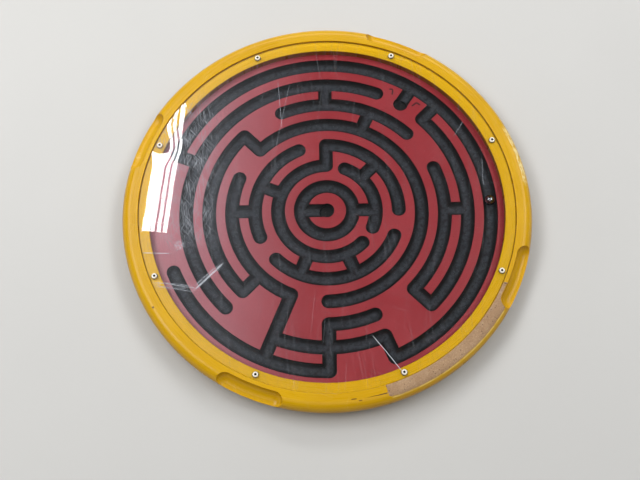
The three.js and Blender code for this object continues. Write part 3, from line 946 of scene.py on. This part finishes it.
class Graph:
    """The node tree of a material or a world, written as calls that return sockets."""

    def __init__(self, owner):
        owner.use_nodes = True
        self.owner = owner
        self.tree = owner.node_tree
        self.tree.nodes.clear()
        self.place = self.node("TexCoord").outputs["Object"]
        self.x, self.y, self.z = self.split(self.place)

    def node(self, kind, inputs=None, **settings):
        made = self.tree.nodes.new("ShaderNode" + kind)
        for name, value in settings.items():
            setattr(made, name, value)
        for name, value in (inputs or {}).items():
            self.feed(made.inputs[name], value)
        return made

    def feed(self, socket, value):
        if isinstance(value, bpy.types.NodeSocket):
            self.tree.links.new(value, socket)
        else:
            socket.default_value = value

    def math(self, operation, *values, clamp=False):
        made = self.node("Math", operation=operation, use_clamp=clamp)
        for k, value in enumerate(values):
            self.feed(made.inputs[k], value)
        return made.outputs[0]

    def plus(self, first, second, clamp=False):
        return self.math("ADD", first, second, clamp=clamp)

    def minus(self, first, second):
        return self.math("SUBTRACT", first, second)

    def product(self, *values):
        total = values[0]
        for value in values[1:]:
            total = self.math("MULTIPLY", total, value)
        return total

    def either(self, *values):
        """The largest of the values."""
        total = values[0]
        for value in values[1:]:
            total = self.math("MAXIMUM", total, value)
        return total

    def step(self, value, low, high, start=0.0, stop=1.0):
        """Goes smoothly from start to stop as the value goes from low to high."""
        inputs = {"Value": value, "From Min": low, "From Max": high, "To Min": start, "To Max": stop}
        return self.node("MapRange", inputs, interpolation_type="SMOOTHSTEP").outputs[0]

    def band(self, value, low, high, soft):
        """1 where the value is between low and high, falling to 0 outside."""
        rise = self.step(value, low - soft, low)
        return self.product(rise, self.step(value, high, high + soft, 1, 0))

    def split(self, vector):
        return self.node("SeparateXYZ", {"Vector": vector}).outputs

    def vector(self, x, y, z):
        return self.node("CombineXYZ", {"X": x, "Y": y, "Z": z}).outputs[0]

    def length(self, x, y):
        return self.math("SQRT", self.plus(self.product(x, x), self.product(y, y)))

    def radius(self):
        """Distance from the part's own Z axis."""
        return self.length(self.x, self.y)

    def angle(self):
        """Angle round the part's own Z axis, in degrees."""
        return self.math("DEGREES", self.math("ARCTAN2", self.y, self.x))

    def scaled(self, x, y, z, turn):
        inputs = {"Vector": self.place, "Scale": (x, y, z), "Rotation": (0, 0, math.radians(turn))}
        return self.node("Mapping", inputs, vector_type="TEXTURE").outputs[0]

    def noise(self, scale, vector=None, detail=3.0, roughness=0.55):
        inputs = {
            "Vector": vector or self.place, "Scale": scale, "Detail": detail,
            "Roughness": roughness, "Distortion": 0.0,
        }
        return self.node("TexNoise", inputs).outputs["Fac"]

    def cells(self, scale, vector=None):
        inputs = {"Vector": vector or self.place, "Scale": scale}
        return self.node("TexVoronoi", inputs, feature="F1").outputs["Distance"]

    def mix(self, factor, first, second):
        """A colour between two others."""
        made = self.node("Mix", data_type="RGBA")
        sockets = {socket.identifier: socket for socket in made.inputs}
        self.feed(sockets["Factor_Float"], factor)
        self.feed(sockets["A_Color"], first)
        self.feed(sockets["B_Color"], second)
        return made.outputs[2]

    def painted(self, base, *layers):
        """Screen colour base, under layers: each a mask, a screen colour and maybe a share."""
        base = colour(*base)
        for mask, tint, *share in layers:
            base = self.mix(self.product(mask, *share), base, colour(*tint))
        return base

    def scratches(self, turn, length, width, amount, seed, bend=0.0):
        """Long thin marks in one direction: 1 on a mark. amount is about the share that is marked.
        length, width and bend are in millimetres."""
        rotate = {"Vector": self.place, "Angle": math.radians(turn)}
        turned_place = self.node("VectorRotate", rotate, rotation_type="Z_AXIS").outputs[0]
        along, across = self.split(turned_place)[:2]
        drift = self.product(self.noise(1.6 / (length * MM), turned_place, 1.0), bend * MM)
        line = self.plus(across, drift)
        east, north = self.product(along, 1 / (length * MM)), self.product(line, 1 / (width * MM))
        field = self.noise(1.0, self.vector(east, north, seed), 2.0, 0.4)
        return self.step(field, 0.78 - amount, 0.82 - amount)

    def stroke(self, start, stop, width, wander, wave, seed):
        """One drawn mark with tapering ends. start and stop are (x, y) in metres, width and wander
        are in millimetres, and wave is the number of turns in a metre."""
        start, stop = Vector(start), Vector(stop)
        run = stop - start
        ahead = run.normalized()
        east, north = self.minus(self.x, start.x), self.minus(self.y, start.y)
        along = self.plus(self.product(east, ahead.x), self.product(north, ahead.y))
        aside = self.plus(self.product(east, -ahead.y), self.product(north, ahead.x))
        wobble = self.noise(wave, self.vector(along, seed, seed * 3), 4.0, 0.62)
        offset = self.product(self.minus(wobble, 0.5), 2 * wander * MM)
        away = self.math("ABSOLUTE", self.minus(aside, offset))
        line = self.step(away, width * 0.35 * MM, width * MM, 1, 0)
        fade = min(run.length * 0.2, 12 * MM)
        return self.product(line, self.band(along, fade, run.length - fade, fade))

    def strongest(self, draw, *marks):
        """The strongest of several scratches or strokes. Each is a strength and what draw takes."""
        shown = []
        for strength, *mark in marks:
            drawn = draw(*mark)
            shown.append(drawn if strength == 1 else self.product(drawn, strength))
        return self.either(*shown)

    def blot(self, centre, size):
        """A ragged spot: 1 inside."""
        away = self.length(self.minus(self.x, centre.x), self.minus(self.y, centre.y))
        edge = self.product(self.minus(self.noise(1.1 / size, detail=4.0), 0.5), 1.6 * size)
        return self.step(self.plus(away, edge), size * 0.75, size, 1, 0)

    def bump(self, height, distance, strength=1.0, below=None):
        inputs = {"Height": height, "Distance": distance, "Strength": strength}
        if below is not None:
            inputs["Normal"] = below
        return self.node("Bump", inputs).outputs[0]

    def surface(self, shader):
        self.node("OutputMaterial", {"Surface": shader})
        return self.owner

    def principled(self, **values):
        """A Principled surface. Names are those of its inputs, with _ for a space."""
        inputs = {name.replace("_", " "): value for name, value in values.items()}
        return self.surface(self.node("BsdfPrincipled", inputs).outputs[0])


def new_material(name):
    return Graph(bpy.data.materials.new(name))


# ---------- materials ----------
def yellow_wrap():
    """Glossy film: streaked round the ring, scuffed and chipped outside, and brighter under the cover
    as painted light. It has a painted highlight along the torn edge, and painted shade on the ledge's
    inner wall, in the seam at the cover's edge and where it faces sideways or down.
    """
    g = new_material("yellow_wrap")
    radius, angle = g.radius(), g.angle()
    east, north = g.math("DIVIDE", g.x, radius), g.math("DIVIDE", g.y, radius)

    def ring_streaks(around, across, roughness):
        """Noise that is drawn out round the tray's axis."""
        lined = g.vector(g.product(east, around), g.product(north, around), g.product(radius, across))
        return g.noise(1.0, lined, 4.0, roughness)

    streaks = ring_streaks(7, 900, 0.6)
    cloudy = g.noise(60.0, detail=5.0, roughness=0.65)
    # Painted light: the film is made brighter under the cover, to make up for the light that the cover
    # takes away.
    lit_under_cover = g.step(radius, COVER_REBATE_RADIUS + 0.3 * MM, COVER_REBATE_RADIUS - 0.3 * MM)
    scuffed = g.product(
        g.band(angle, 8, 23, 3),
        g.band(radius, 291.5 * MM, 296.5 * MM, 1.5 * MM),
        g.step(ring_streaks(40, 700, 0.55), 0.42, 0.56),
    )
    worn = g.product(
        g.band(radius, 290 * MM, 299 * MM, 3 * MM),
        g.step(cloudy, 0.58, 0.74),
        g.step(g.noise(6.0, detail=2.0), 0.48, 0.62),
    )
    fine = g.strongest(
        g.scratches,
        (1, 20, 60, 0.5, 0.06, 1.0, 3),
        (1, 112, 40, 0.4, 0.055, 5.0, 3),
        (1, 71, 90, 0.45, 0.05, 9.0, 6),
    )
    pale = g.either(g.product(scuffed, 0.85), g.product(worn, 0.35), g.product(fine, 0.4))
    chips = g.strongest(
        g.stroke,
        (1, polar(286 * MM, -84.4).xy, polar(286 * MM, -82.6).xy, 1.1, 1.0, 150, 1.0),
        (1, polar(289 * MM, -82.4).xy, polar(289 * MM, -81.2).xy, 0.9, 0.8, 150, 2.0),
    )
    specks = g.either(
        g.blot(polar(289 * MM, -148.9), 1.7 * MM),
        g.blot(polar(285 * MM, 76.3), 0.9 * MM),
        chips,
        g.product(worn, g.step(g.cells(240.0), 0.14, 0.06), 0.8),
    )
    dirt = g.product(g.step(g.noise(22.0, detail=6.0, roughness=0.7), 0.6, 0.85), 0.22)
    # Painted highlight: a pale band along the torn edge of the film, where its edge catches the light.
    torn = g.product(
        g.band(angle, PEEL_FROM + 1.5, PEEL_TO - 8.0, 1),
        g.band(radius, 294.0 * MM, 295.3 * MM, 0.4 * MM),
        g.step(g.noise(90.0, detail=4.0), 0.3, 0.6, 0.25, 0.8),
    )
    # Painted shade: the film is darker down the ledge's inner wall, below the cover.
    wall = g.product(
        g.step(radius, LEDGE_INNER_RADIUS + 2 * MM, LEDGE_INNER_RADIUS + 0.6 * MM),
        g.step(g.z, LEDGE_TOP - 0.5 * MM, LEDGE_TOP - 2.5 * MM),
    )
    # Painted shadow: a dark line in the gap at the cover's edge.
    seam_shadow = g.band(radius, COVER_REBATE_RADIUS - 0.7 * MM, COVER_REBATE_RADIUS + 0.1 * MM, 0.2 * MM)
    # Painted shade: the film is darker where it faces sideways or down, such as the nose's outer side,
    # the walls and the scoops.
    facing = g.split(g.node("NewGeometry").outputs["Normal"])[2]
    base = g.painted(
        (216, 166, 1),
        (g.step(g.noise(9.0, detail=2.0), 0.35, 0.7), (209, 158, 1)),
        (lit_under_cover, (249, 200, 4)),
        (g.step(streaks, 0.56, 0.8, 0, 0.16), (247, 205, 90)),
        (g.step(streaks, 0.44, 0.25, 0, 0.18), (176, 124, 4)),
        (pale, (250, 232, 170)),
        (dirt, (140, 98, 20)),
        (specks, (84, 52, 20), 0.9),
        (torn, (244, 214, 126)),
        (wall, (100, 57, 6), 0.85),
        (seam_shadow, (84, 52, 6), 0.66),
        (g.step(facing, 0.8, 0.15, 0, 0.5), (160, 110, 0)),
    )
    rough = g.plus(g.step(streaks, 0.3, 0.75, 0.24, 0.38), g.product(pale, 0.25), clamp=True)
    normal = g.bump(streaks, 0.05 * MM)
    normal = g.bump(g.noise(34.0, detail=2.0), 0.5 * MM, 0.6, normal)
    normal = g.bump(g.minus(1.0, g.either(fine, specks)), 0.08 * MM, 0.7, normal)
    return g.principled(Base_Color=base, Roughness=rough, Normal=normal, Specular_IOR_Level=0.32)


def fibreboard():
    """Bare machined board, flecked with light and dark fibres, with painted shade under the slit in the
    skin.
    """
    g = new_material("fibreboard")
    fibres = g.noise(420.0, detail=6.0, roughness=0.75)
    patches = g.noise(38.0, detail=5.0, roughness=0.7)
    light_fleck = g.product(g.step(g.cells(420.0), 0.25, 0.12), g.step(patches, 0.4, 0.55))
    dark_fleck = g.product(g.step(g.cells(240.0, g.scaled(1, 1.8, 1, 40)), 0.19, 0.1), 0.85)
    glue = g.product(g.step(g.noise(110.0, detail=6.0, roughness=0.8), 0.56, 0.68), 0.75)
    # Painted shade: the core is darker where it shows through the slit in the skin.
    slit_shade = g.product(
        g.band(g.angle(), SLIT_FROM - 1, PEEL_FROM - 0.4, 0.3),
        g.step(g.z, RIM_TOP - 9 * MM, RIM_TOP - 7 * MM, 0, 0.85),
    )
    base = g.painted(
        (161, 127, 95),
        (g.step(patches, 0.3, 0.7), (176, 143, 110)),
        (g.step(fibres, 0.45, 0.7, 0, 0.6), (198, 168, 134)),
        (g.step(fibres, 0.42, 0.25, 0, 0.65), (112, 80, 56)),
        (light_fleck, (214, 192, 164), 0.7),
        (glue, (206, 184, 154), 0.45),
        (dark_fleck, (80, 56, 40)),
        (slit_shade, (52, 36, 24)),
    )
    normal = g.bump(patches, 0.9 * MM, 0.7, g.bump(fibres, 0.35 * MM, 0.9))
    return g.principled(Base_Color=base, Roughness=0.88, Normal=normal)


def board_face(g, depth, broad):
    """The red facing's colour: scratched, dusty and nicked, paler towards one side as a painted
    reflection, and darker on the tracks' rounded edges as painted shade.
    """
    fine = g.strongest(
        g.scratches, (1, 8, 70, 0.35, 0.05, 2.0, 5), (1, 133, 50, 0.3, 0.05, 6.0, 3)
    )
    dust = g.product(g.step(g.noise(950.0, detail=2.0), 0.66, 0.74), g.step(broad, 0.42, 0.7))
    nicks = g.product(g.step(g.cells(120.0), 0.09, 0.05), g.step(g.noise(9.0), 0.5, 0.6))
    hooks = g.strongest(
        g.stroke,
        (1, (0.0985, 0.1990), (0.1050, 0.1975), 2.0, 0.8, 300, 1.0),
        (1, (0.1045, 0.1990), (0.1028, 0.1875), 1.8, 0.8, 300, 2.0),
        (1, (0.1315, 0.1680), (0.1400, 0.1750), 1.8, 0.8, 300, 3.0),
        (1, (0.1380, 0.1755), (0.1455, 0.1700), 2.0, 0.8, 300, 4.0),
    )
    return g.painted(
        (176, 45, 56),
        (g.step(broad, 0.3, 0.7), (185, 53, 64)),
        (fine, (214, 150, 150), 0.35),
        (dust, (206, 176, 172), 0.35),
        (nicks, (84, 24, 30), 0.7),
        # Painted reflection: a pale pink veil over the left side, where the cover shows the window's
        # glare.
        (g.step(g.x, 10 * MM, -250 * MM, 0, 0.42), (226, 176, 194)),
        # Painted shade: darker red where the face rounds down into the tracks.
        (g.step(depth, 0.1 * MM, 0.5 * MM), (122, 36, 44), 0.3),
        (hooks, (60, 26, 30), 0.9),
    )


def board_core(g, depth, grain):
    """The dark core's colour: near black on the tracks' walls as painted shade, lighter along their
    bottoms with dust and painted light, and black in the cups as painted shade.
    """
    # The walls keep the near black base as painted shade; the bottoms are lighter, partly dust and
    # partly painted light.
    bottom = g.step(depth, TRACK_DEPTH - 2.8 * MM, TRACK_DEPTH - 0.1 * MM)
    dust = g.step(g.noise(150.0, detail=6.0, roughness=0.75), 0.32, 0.68, 0.25, 1.0)
    flecks = g.product(g.step(g.noise(600.0), 0.62, 0.72), g.step(g.noise(30.0), 0.45, 0.6))
    return g.painted(
        (9, 9, 12),
        (g.step(grain, 0.35, 0.7), (21, 22, 27)),
        (g.product(bottom, dust), (66, 71, 80)),
        (flecks, (94, 97, 102), 0.5),
        # Painted shade: the cups get darker the deeper they go.
        (g.step(depth, TRACK_DEPTH + 0.6 * MM, TRACK_DEPTH + 2 * MM, 0, 0.9), (16, 17, 19)),
    )


def routed_board():
    """A red facing over a charcoal core, told apart by the depth below the face."""
    g = new_material("routed_board")
    layer = 0.7 * MM
    soft = 0.06 * MM
    edge = g.product(g.minus(g.noise(300.0, detail=2.0), 0.5), 0.35 * MM)
    depth = g.minus(BOARD_FACE, g.plus(g.z, edge))
    cut = g.step(depth, layer - soft, layer + soft)
    broad = g.noise(13.0, detail=4.0)
    grain = g.noise(380.0, detail=5.0, roughness=0.7)
    base = g.mix(cut, board_face(g, depth, broad), board_core(g, depth, grain))
    rough = g.plus(g.product(cut, 0.42), g.step(broad, 0.3, 0.7, 0.36, 0.46))
    normal = g.bump(g.product(grain, cut), 0.12 * MM)
    normal = g.bump(g.noise(26.0, detail=2.0), 0.25 * MM, 0.5, normal)
    return g.principled(Base_Color=base, Roughness=rough, Normal=normal)


def cover_marks(g):
    """How white the cover's upper face is with scratches, smears, film and dust. Towards the left the
    film is also a painted reflection of the window's glare.
    """
    fine = g.strongest(
        g.scratches,
        (0.20, 84, 150, 0.7, 0.10, 3.0, 9),
        (0.20, 97, 110, 0.7, 0.09, 7.0, 6),
        (0.16, 17, 90, 0.7, 0.08, 11.0, 6),
        (0.14, 150, 70, 0.7, 0.08, 15.0, 4),
    )
    handled = g.strongest(
        g.scratches,
        (1, 82, 40, 0.6, 0.165, 21.0),
        (1, 48, 34, 0.6, 0.155, 25.0),
        (1, 116, 34, 0.6, 0.155, 29.0),
    )
    handled_part = g.product(
        g.band(g.x, -225 * MM, -190 * MM, 60 * MM), g.band(g.y, -30 * MM, 150 * MM, 60 * MM)
    )
    cloudy = g.step(g.noise(16.0, detail=5.0, roughness=0.6), 0.3, 0.7, 0.6, 1.0)
    # Partly a real film and partly a painted reflection: a white veil that grows towards the left,
    # under the window's glare.
    film = g.product(g.step(g.x, 20 * MM, -250 * MM, 0, 0.07), cloudy)
    long_marks = g.strongest(
        g.stroke,
        (0.42, (-0.072, 0.212), (-0.065, 0.120), 0.5, 3, 9, 1.0),
        (0.3, (-0.053, 0.206), (-0.076, 0.085), 0.45, 4, 9, 2.0),
        (0.8, (-0.269, -0.0675), (-0.222, -0.0690), 0.7, 1, 30, 3.0),
        (0.5, (-0.252, -0.1120), (-0.182, -0.1225), 0.8, 5, 18, 4.0),
        (0.42, (-0.248, -0.1180), (-0.186, -0.1275), 0.7, 6, 18, 5.0),
        (0.42, (-0.236, -0.1130), (-0.192, -0.1175), 0.7, 5, 18, 6.0),
        (0.7, (-0.192, -0.1265), (-0.147, -0.0825), 1.8, 1.5, 20, 7.0),
        (0.4, (-0.191, -0.1195), (-0.156, -0.0865), 0.8, 1.5, 20, 9.0),
        (0.4, (0.207, 0.135), (0.190, 0.107), 0.6, 2, 20, 10.0),
        (0.34, (0.230, 0.075), (0.231, 0.024), 0.6, 4, 20, 11.0),
    )
    broken = g.step(g.noise(150.0, detail=4.0, roughness=0.7), 0.35, 0.6, 0.55, 1.0)
    wiped = g.strongest(
        g.stroke,
        (1, (-0.250, -0.1150), (-0.184, -0.1240), 7, 5, 18, 12.0),
        (1, (-0.192, -0.1230), (-0.149, -0.0850), 5, 2, 18, 13.0),
    )
    smear = g.product(wiped, g.step(g.noise(90.0, detail=5.0, roughness=0.75), 0.4, 0.6), 0.22)
    crack = g.stroke((0.1035, -0.2510), (0.0580, -0.1915), 0.55, 1.6, 40, 8.0)
    scrubbed = g.strongest(
        g.scratches, (1, 20, 6, 0.9, 0.22, 33.0), (1, 70, 6, 0.9, 0.2, 37.0)
    )
    cluster = g.product(g.blot(Vector((-0.213, -0.0566, 0)), 9 * MM), scrubbed, 0.55)
    dust = g.product(g.step(g.cells(330.0), 0.07, 0.03), g.step(g.noise(14.0), 0.45, 0.65), 0.35)
    drawn = g.either(g.product(long_marks, broken), smear, g.product(crack, 0.9))
    strongest = g.either(fine, g.product(handled_part, handled, 0.46), drawn, cluster, dust)
    return g.plus(film, strongest, clamp=True)


def cover_waves(g):
    """The cover's slow waves, with a shallow dimple round each screw."""
    radius = g.radius()
    round_ring = g.math("MODULO", g.plus(g.angle(), 360.0), SCREW_PITCH)
    aside = g.product(g.math("RADIANS", g.minus(round_ring, SCREW_PITCH / 2)), radius)
    away = g.length(aside, g.minus(radius, SCREW_CIRCLE))
    waves = g.bump(g.noise(8.0, detail=1.0, roughness=0.4), 0.45 * MM, 0.3)
    return g.bump(g.step(away, 0, 36 * MM), 0.115 * MM, 1.0, waves)


def acrylic():
    """Clear sheet that lets light straight through, reflects at its upper face and is scratched."""
    g = new_material("acrylic")
    marks = cover_marks(g)
    waves = cover_waves(g)
    haze = g.step(g.noise(11.0, detail=4.0), 0.35, 0.75, 0.004, 0.02)
    clear = g.node("BsdfTransparent", {"Color": (0.99, 0.995, 0.99, 1)}).outputs[0]
    gloss = g.node("BsdfGlossy", {"Color": WHITE, "Roughness": haze, "Normal": waves}).outputs[0]
    white = g.node("BsdfDiffuse", {"Color": colour(230, 236, 246)}).outputs[0]
    upper_face = g.step(g.z, COVER_HIGH.z - 0.5 * MM, COVER_HIGH.z - 0.1 * MM, 0.1, 1)
    fresnel = g.product(g.node("Fresnel", {"IOR": 1.49, "Normal": waves}).outputs[0], upper_face)
    glass = g.node("MixShader", {0: fresnel, 1: clear, 2: gloss}).outputs[0]
    shown = g.product(marks, upper_face, 0.8)
    return g.surface(g.node("MixShader", {0: shown, 1: glass, 2: white}).outputs[0])


def metal(name, tint, rough, scratch, wear, metallic=1.0, socket_floor=None):
    """Metal with fine scratches and dull patches, and painted shade inside a socket, where it has one.
    """
    g = new_material(name)
    patches = g.noise(350.0, detail=4.0)
    fine = g.strongest(
        g.scratches, (1, 31, 5, 0.08, 0.1, 1.0), (1, 118, 4, 0.07, 0.1, 4.0)
    )
    base = g.mix(g.step(patches, 0.45, 0.75, 0, wear), colour(*tint), colour(128, 122, 110))
    roughness = g.plus(g.step(patches, 0.3, 0.7, rough, rough * 1.5), g.product(fine, 0.12))
    if socket_floor is not None:
        # Painted shade: the socket's inside is dark, dull and not metallic.
        inside = g.step(g.radius(), SOCKET_RADIUS + 0.1 * MM, SOCKET_RADIUS + 0.25 * MM, 1, 0)
        socket_shade = g.product(
            inside,
            g.step(g.z, socket_floor - 0.3 * MM, socket_floor),
            g.step(g.z, socket_floor + 1.1 * MM, socket_floor + 1.4 * MM, 1, 0.9),
        )
        base = g.mix(socket_shade, base, colour(14, 12, 10))
        metallic = g.step(socket_shade, 0, 1, metallic, 0)
        roughness = g.either(roughness, g.product(socket_shade, 0.9))
    normal = g.bump(fine, 0.01 * MM, scratch)
    return g.principled(Base_Color=base, Metallic=metallic, Roughness=roughness, Normal=normal)


def rubber():
    """Black rubber, dusty in patches."""
    g = new_material("rubber")
    dust = g.step(g.noise(260.0, detail=4.0), 0.5, 0.75, 0, 0.35)
    base = g.painted((28, 27, 27), (dust, (84, 80, 75)))
    normal = g.bump(g.noise(900.0, detail=4.0), 0.06 * MM)
    return g.principled(Base_Color=base, Roughness=0.72, Normal=normal)


def pale_floor():
    """An even pale floor that glows faintly far out, so that it stays pale past the lights."""
    g = new_material("pale_floor")
    base = g.painted((205, 204, 201), (g.noise(3.0, detail=2.0), (211, 210, 207)))
    glow = g.step(g.radius(), 1.5, 4.0, 0, 0.58)
    g.owner.cycles.emission_sampling = "NONE"
    return g.principled(
        Base_Color=base, Roughness=0.75, Emission_Color=STUDIO_WHITE, Emission_Strength=glow
    )


# ---------- floor, lights and camera ----------
FLOOR_HALF = 15.0

# Each softbox: name, place, width, depth and watts.
SOFTBOXES = (
    ("softbox_left", (-1.5, 0.5, 2.2), 1.1, 2.2, 43),
    ("softbox_front", (0.0, -0.95, 2.3), 2.4, 1.3, 9),
    ("softbox_right", (1.5, 0.6, 2.2), 1.1, 2.0, 29),
    ("softbox_back", (0.2, 2.8, 2.2), 2.6, 1.2, 62),
)

# A narrow window overhead, which shows as a glare near the cover's left edge. Each pane: where it
# starts across the window, its width, and its share of the window's length.
WINDOW_PLACE = Vector((-0.556, 0.972, 2.04))
WINDOW_TURN = math.radians(-6)
WINDOW_LENGTH = 0.50
WINDOW_RADIANCE = 33
WINDOW_PANES = ((-0.050, 0.032, 0.63), (-0.018, 0.011, 1.0), (0.002, 0.012, 1.0), (0.023, 0.016, 1.0))

# How bright the surroundings are at the horizon and from halfway up the sky.
HORIZON_STRENGTH = 0.62
SKY_STRENGTH = 0.1
SKY_STARTS = 0.5

CAMERA_PLACE = (-0.0069, -0.5779, 1.4744)
CAMERA_AHEAD = (-0.00255, 0.34392, -0.93900)
CAMERA_RIGHT = (0.99986, -0.01421, -0.00792)
CAMERA_LENS = 59.73
CAMERA_SENSOR = 36


def make_floor():
    corners = [(x * FLOOR_HALF, y * FLOOR_HALF, 0) for x, y in ((-1, -1), (1, -1), (1, 1), (-1, 1))]
    mesh = bpy.data.meshes.new("floor")
    mesh.from_pydata(corners, [], [(0, 1, 2, 3)])
    mesh.materials.append(pale_floor())
    linked("floor", mesh)


def panel_light(name, place, width, depth, power, turn=0.0):
    """A level rectangular light that shines straight down."""
    light = bpy.data.lights.new(name, "AREA")
    light.shape = "RECTANGLE"
    light.size = width
    light.size_y = depth
    light.energy = power
    lamp = linked(name, light)
    lamp.location = place
    lamp.rotation_euler.z = turn


def make_window():
    for k, (start, width, share) in enumerate(WINDOW_PANES):
        length = WINDOW_LENGTH * share
        offset = Vector((start + width / 2, (length - WINDOW_LENGTH) / 2, 0))
        place = WINDOW_PLACE + Matrix.Rotation(WINDOW_TURN, 3, "Z") @ offset
        power = WINDOW_RADIANCE * math.pi * width * length
        panel_light(f"pane_{k + 1}", place, width, length, power, WINDOW_TURN)


def make_world():
    """Pale surroundings, brightest at the horizon."""
    world = bpy.data.worlds.new("studio")
    g = Graph(world)
    upward = g.split(g.node("TexCoord").outputs["Generated"])[2]
    strength = g.step(upward, 0.0, SKY_STARTS, HORIZON_STRENGTH, SKY_STRENGTH)
    glow = g.node("Background", {"Color": STUDIO_WHITE, "Strength": strength}).outputs[0]
    g.node("OutputWorld", {"Surface": glow})
    bpy.context.scene.world = world


def make_camera():
    ahead = Vector(CAMERA_AHEAD).normalized()
    right = Vector(CAMERA_RIGHT).normalized()
    up = right.cross(ahead).normalized()
    data = bpy.data.cameras.new("camera")
    data.sensor_width = CAMERA_SENSOR
    data.lens = CAMERA_LENS
    camera = linked("camera", data)
    turn = Matrix((right, up, -ahead)).transposed().to_4x4()
    camera.matrix_world = Matrix.Translation(CAMERA_PLACE) @ turn
    bpy.context.scene.camera = camera


# ---------- the scene ----------
make_camera()
for softbox in SOFTBOXES:
    panel_light(*softbox)
make_window()
make_world()
make_floor()
bpy.context.scene.view_settings.view_transform = "Standard"

bare_board = fibreboard()
steel = metal("polished_steel", (138, 142, 150), 0.13, 0.4, 0.1)
finished(make_rim_core(), bare_board, TRAY, "bare_fibreboard", "rim_core")
finished(make_rim_skin(), yellow_wrap(), TRAY, "yellow_skin", "rim_skin")
finished(make_curl(), bare_board, TRAY, "bare_fibreboard")
finished(make_board(), routed_board(), TRAY, "red_board", "maze_board")
finished(make_cover(), acrylic(), TRAY, "clear_acrylic", "clear_cover")
finished(make_ball(), steel, BALL, "polished_steel", "steel_ball")

zinc = metal("zinc_steel", (214, 214, 210), 0.22, 0.8, 0.35)
socket_floor = COVER_HEAD_HEIGHT - SOCKET_DEPTH
bright_zinc = metal("bright_zinc", (243, 238, 224), 0.38, 0.8, 0.3, 0.3, socket_floor)
black_rubber = rubber()
place_copies(make_cover_screw(), "cover_screw", SCREW_COUNT, bright_zinc, "zinc_steel", WASHER_TOP)
place_copies(make_washer(), "cover_washer", SCREW_COUNT, black_rubber, "black_rubber")
place_copies(make_board_screw(), "board_screw", SCREW_COUNT, zinc, "zinc_steel")
place_copies(make_foot(), "foot", FOOT_COUNT, black_rubber, "black_rubber")
place_copies(make_foot_screw(), "foot_screw", FOOT_COUNT, zinc, "zinc_steel")
